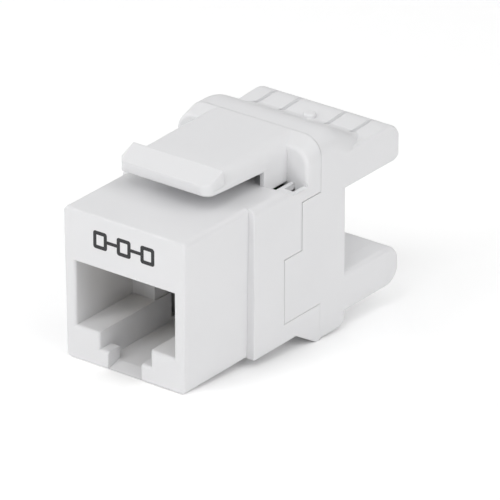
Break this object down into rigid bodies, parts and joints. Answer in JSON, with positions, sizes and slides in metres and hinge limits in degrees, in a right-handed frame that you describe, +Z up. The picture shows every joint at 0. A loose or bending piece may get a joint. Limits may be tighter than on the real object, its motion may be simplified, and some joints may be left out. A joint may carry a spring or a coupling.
{
  "type": "keystone jack",
  "caption": "White snap-in modular socket with a plug opening at the front, a flexing latch on top and a punch-down wire block with upper and lower arms at the rear.",
  "frame": {"origin": "centre of the panel seat: on the plane of the shoulder faces, midway across the body and midway between the nose's underside and top", "axes": "+Y runs from the plug opening to the wire block, +Z up towards the latch, +X to the right seen from the front"},
  "size_m": [0.0164, 0.0344, 0.0223],
  "materials": {
    "housing": "fine satin moulding, white",
    "insert": "satin moulding, mid grey",
    "contact": "gold-plated spring wire",
    "terminal": "tin-plated stamping",
    "board": "green solder mask"
  },
  "bodies": {
    "housing": {"front_housing": "housing", "rear_housing": "housing", "contact_insert": "insert", "circuit_board": "board", "contact_lead_1": "contact", "contact_lead_2": "contact", "contact_lead_3": "contact", "contact_lead_4": "contact", "contact_lead_5": "contact", "contact_lead_6": "contact", "contact_lead_7": "contact", "contact_lead_8": "contact", "upper_terminal_1": "terminal", "upper_terminal_2": "terminal", "upper_terminal_3": "terminal", "upper_terminal_4": "terminal", "lower_terminal_1": "terminal", "lower_terminal_2": "terminal", "lower_terminal_3": "terminal", "lower_terminal_4": "terminal"},
    "latch": {"latch_arm": "housing"},
    "contact_springs": {"contact_spring_1": "contact", "contact_spring_2": "contact", "contact_spring_3": "contact", "contact_spring_4": "contact", "contact_spring_5": "contact", "contact_spring_6": "contact", "contact_spring_7": "contact", "contact_spring_8": "contact"}
  },
  "joints": [
    {"name": "latch_flex", "type": "hinge", "parent": "housing", "child": "latch", "pos_m": [0, 0.00403, 0.01076], "axis": [1, 0, 0], "range_deg": [0, 10], "stiffness_Nm_per_rad": 0.05},
    {"name": "contact_flex", "type": "hinge", "parent": "housing", "child": "contact_springs", "pos_m": [0, -0.0077, 0.0039], "axis": [1, 0, 0], "range_deg": [0, 12], "stiffness_Nm_per_rad": 0.02}
  ]
}
